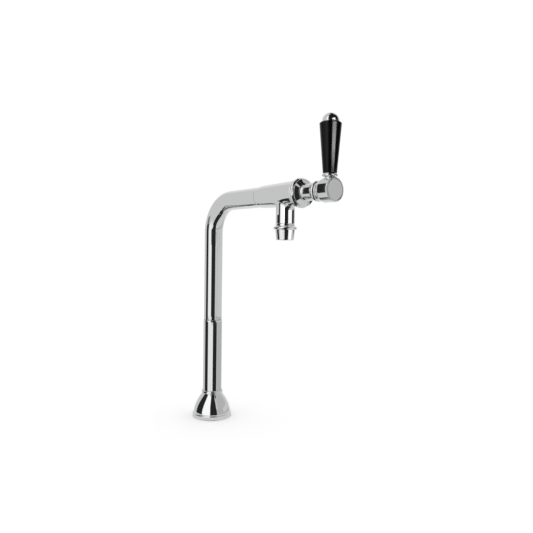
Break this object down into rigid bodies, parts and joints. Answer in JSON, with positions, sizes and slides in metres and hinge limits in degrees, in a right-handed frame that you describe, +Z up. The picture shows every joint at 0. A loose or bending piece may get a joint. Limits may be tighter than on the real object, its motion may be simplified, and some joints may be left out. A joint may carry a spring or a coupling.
{
  "type": "beer tap tower",
  "caption": "Polished chrome swan-neck tap tower with a bell flange, a swivelling arm, a quarter-turn valve with a black lever, and a downward nozzle.",
  "frame": {"origin": "on the bench, at the foot of the column axis", "axes": "+Z up the column, -Y along the arm towards the person pouring, +X to that person's right"},
  "size_m": [0.048, 0.2322, 0.3394],
  "materials": {
    "polished_chrome": "polished",
    "raw_brass": "machined",
    "bright_steel": "turned",
    "black_rubber": "matt",
    "white_nylon": "satin",
    "ceramic": "lapped",
    "black_handle": "glossy"
  },
  "bodies": {
    "pedestal": {"base_gasket": "black_rubber", "mounting_plate": "raw_brass", "sleeve_washer": "black_rubber", "pedestal_sleeve": "polished_chrome", "grub_screw": "bright_steel"},
    "flange": {"base_flange": "polished_chrome", "flange_o_ring": "black_rubber"},
    "swan_neck": {"swivel_washer": "white_nylon", "swivel_spigot": "raw_brass", "spigot_o_ring_1": "black_rubber", "spigot_o_ring_2": "black_rubber", "riser_tube": "polished_chrome", "tap_body": "polished_chrome", "outlet_nozzle": "polished_chrome", "nozzle_o_ring": "black_rubber", "flow_straightener": "white_nylon", "bonnet_gasket": "black_rubber", "bonnet": "polished_chrome", "gland_nut": "polished_chrome", "glide_ring": "white_nylon", "cartridge_seal": "black_rubber", "cartridge_body": "raw_brass", "fixed_disc": "ceramic"},
    "lever": {"moving_disc": "ceramic", "spindle": "raw_brass", "spindle_o_ring_1": "black_rubber", "spindle_o_ring_2": "black_rubber", "spindle_circlip": "bright_steel", "lever_hub": "polished_chrome", "hub_screw": "bright_steel", "hub_cap": "polished_chrome", "lever_stem": "bright_steel", "lever_ferrule": "polished_chrome", "handle_washer_1": "white_nylon", "handle_washer_2": "white_nylon", "lever_handle": "black_handle", "finial_nut": "polished_chrome"}
  },
  "joints": [
    {"name": "flange_lift", "type": "slide", "parent": "pedestal", "child": "flange", "axis": [0, 0, 1], "range_m": [0, 0.07]},
    {"name": "swan_neck_swivel", "type": "hinge", "parent": "pedestal", "child": "swan_neck", "pos_m": [0, 0, 0.12], "axis": [0, 0, 1], "range_deg": [-75, 75]},
    {"name": "lever_turn", "type": "hinge", "parent": "swan_neck", "child": "lever", "pos_m": [0, -0.1975, 0.266], "axis": [0, -1, 0], "range_deg": [0, 90]}
  ]
}
